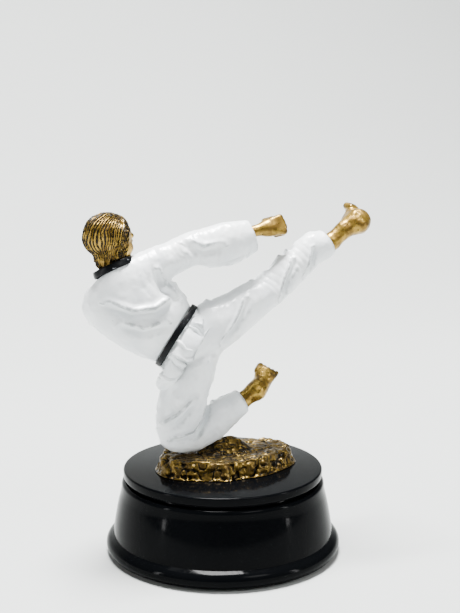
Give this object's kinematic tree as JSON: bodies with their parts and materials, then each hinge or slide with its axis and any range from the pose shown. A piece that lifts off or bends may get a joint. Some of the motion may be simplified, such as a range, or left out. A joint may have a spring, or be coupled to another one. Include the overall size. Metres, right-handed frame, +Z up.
{
  "type": "martial arts figure trophy",
  "caption": "Small award with a kicking martial arts figure in a white suit, one knee on a gilt ground mound, on a round black plinth with a felt underside.",
  "frame": {"origin": "centre of the plinth's underside", "axes": "+Z up; +X the way the leg kicks; +Y the side the figure's chest faces"},
  "size_m": [0.0983, 0.0798, 0.1168],
  "materials": {
    "black_gloss": "high gloss black resin",
    "felt": "black felt",
    "antique_gold": "antique gold paint with a dark wash, over resin",
    "white_paint": "satin white paint over resin",
    "black_paint": "satin black paint over resin",
    "steel": "plain steel"
  },
  "bodies": {
    "root": {"plinth": "black_gloss", "felt_pad": "felt", "base_screw": "steel", "base_washer": "steel", "base_dowel": "steel", "mound": "antique_gold", "trouser_seat": "white_paint", "kick_leg_trouser": "white_paint", "tucked_leg_trouser": "white_paint", "kick_foot": "antique_gold", "tucked_foot": "antique_gold", "jacket_skirt": "white_paint", "jacket_body": "white_paint", "right_sleeve": "white_paint", "left_sleeve": "white_paint", "belt": "black_paint", "belt_knot": "black_paint", "belt_tail_upper": "black_paint", "belt_tail_lower": "black_paint", "collar": "black_paint", "head": "antique_gold", "right_fist": "antique_gold", "left_fist": "antique_gold", "support_rod": "steel", "spine_wire": "steel", "neck_wire": "steel", "right_arm_wire": "steel", "kick_leg_wire": "steel", "left_shoulder_pin": "steel", "left_wrist_pin": "steel", "tucked_ankle_pin": "steel"}
  },
  "joints": []
}
